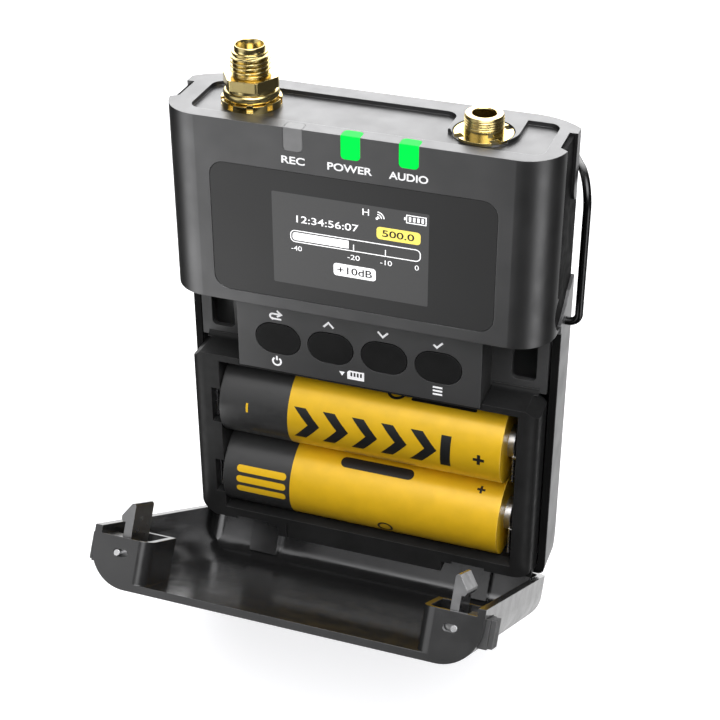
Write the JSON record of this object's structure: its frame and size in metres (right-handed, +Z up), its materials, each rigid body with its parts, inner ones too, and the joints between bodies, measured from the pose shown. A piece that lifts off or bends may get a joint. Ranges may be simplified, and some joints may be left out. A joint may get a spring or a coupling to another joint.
{
  "type": "wireless bodypack transmitter",
  "caption": "Belt-worn transmitter pack with a flip-down battery door, latches, keys, display window, aerial and jack sockets and a wire belt clip.",
  "frame": {"origin": "middle of the foot, the flat lower face of the back shell", "axes": "+Z up towards the sockets, +X to the right seen from the front, +Y towards the back face that lies against the wearer"},
  "size_m": [0.0684, 0.058, 0.099],
  "materials": {
    "housing": "satin",
    "back_metal": "satin",
    "frame_plastic": "matte",
    "seal_rubber": "matte",
    "tray_plastic": "satin",
    "panel_metal": "satin",
    "board": "satin",
    "window_glass": "gloss",
    "screen": "gloss",
    "lamp_off": "satin",
    "lamp_on": "satin",
    "card_plastic": "matte",
    "gilt": "polished",
    "insulator": "satin",
    "contact_metal": "satin",
    "cell_sleeve": "satin",
    "steel": "satin",
    "steel_dark": "satin",
    "door_metal": "satin",
    "key_plastic": "satin",
    "wire": "satin"
  },
  "bodies": {
    "body": {"front_housing": "housing", "back_shell": "back_metal", "mid_frame": "frame_plastic", "rim_seal": "seal_rubber", "battery_tray": "tray_plastic", "button_panel": "panel_metal", "key_switches": "board", "display_window": "window_glass", "display_module": "screen", "light_pipe_1": "lamp_off", "light_pipe_2": "lamp_on", "light_pipe_3": "lamp_on", "main_board": "board", "memory_card": "card_plastic", "card_socket": "contact_metal", "aerial_barrel": "gilt", "aerial_nut": "gilt", "aerial_washer": "gilt", "aerial_pin": "insulator", "jack_barrel": "gilt", "jack_nut": "gilt", "jack_contact": "contact_metal", "cell_upper": "cell_sleeve", "cell_lower": "cell_sleeve", "leaf_contacts": "contact_metal", "plate_contacts": "contact_metal", "hinge_pins": "steel", "back_screws": "steel_dark"},
    "door": {"door_shell": "door_metal", "latch_springs": "steel"},
    "latch_left": {"latch_left": "steel", "release_left": "key_plastic", "guide_pin_left": "steel"},
    "latch_right": {"latch_right": "steel", "release_right": "key_plastic", "guide_pin_right": "steel"},
    "clip": {"belt_clip": "wire"},
    "key_1": {"key_1": "key_plastic"},
    "key_2": {"key_2": "key_plastic"},
    "key_3": {"key_3": "key_plastic"},
    "key_4": {"key_4": "key_plastic"}
  },
  "joints": [
    {"name": "door_hinge", "type": "hinge", "parent": "body", "child": "door", "pos_m": [0, 0.0014, 0.0022], "axis": [1, 0, 0], "range_deg": [-58.35, 31.65]},
    {"name": "latch_left_slide", "type": "slide", "parent": "door", "child": "latch_left", "axis": [-1, 0, 0], "range_m": [-0.0011, 0], "stiffness_N_per_m": 300},
    {"name": "latch_right_slide", "type": "slide", "parent": "door", "child": "latch_right", "axis": [1, 0, 0], "range_m": [-0.0011, 0], "stiffness_N_per_m": 300},
    {"name": "clip_swing", "type": "hinge", "parent": "body", "child": "clip", "pos_m": [0, 0.0019, 0.0498], "axis": [-1, 0, 0], "range_deg": [0, 18], "stiffness_Nm_per_rad": 0.08},
    {"name": "key_1_press", "type": "slide", "parent": "body", "child": "key_1", "axis": [0, 1, 0], "range_m": [0, 0.0003], "stiffness_N_per_m": 300},
    {"name": "key_2_press", "type": "slide", "parent": "body", "child": "key_2", "axis": [0, 1, 0], "range_m": [0, 0.0003], "stiffness_N_per_m": 300},
    {"name": "key_3_press", "type": "slide", "parent": "body", "child": "key_3", "axis": [0, 1, 0], "range_m": [0, 0.0003], "stiffness_N_per_m": 300},
    {"name": "key_4_press", "type": "slide", "parent": "body", "child": "key_4", "axis": [0, 1, 0], "range_m": [0, 0.0003], "stiffness_N_per_m": 300}
  ]
}
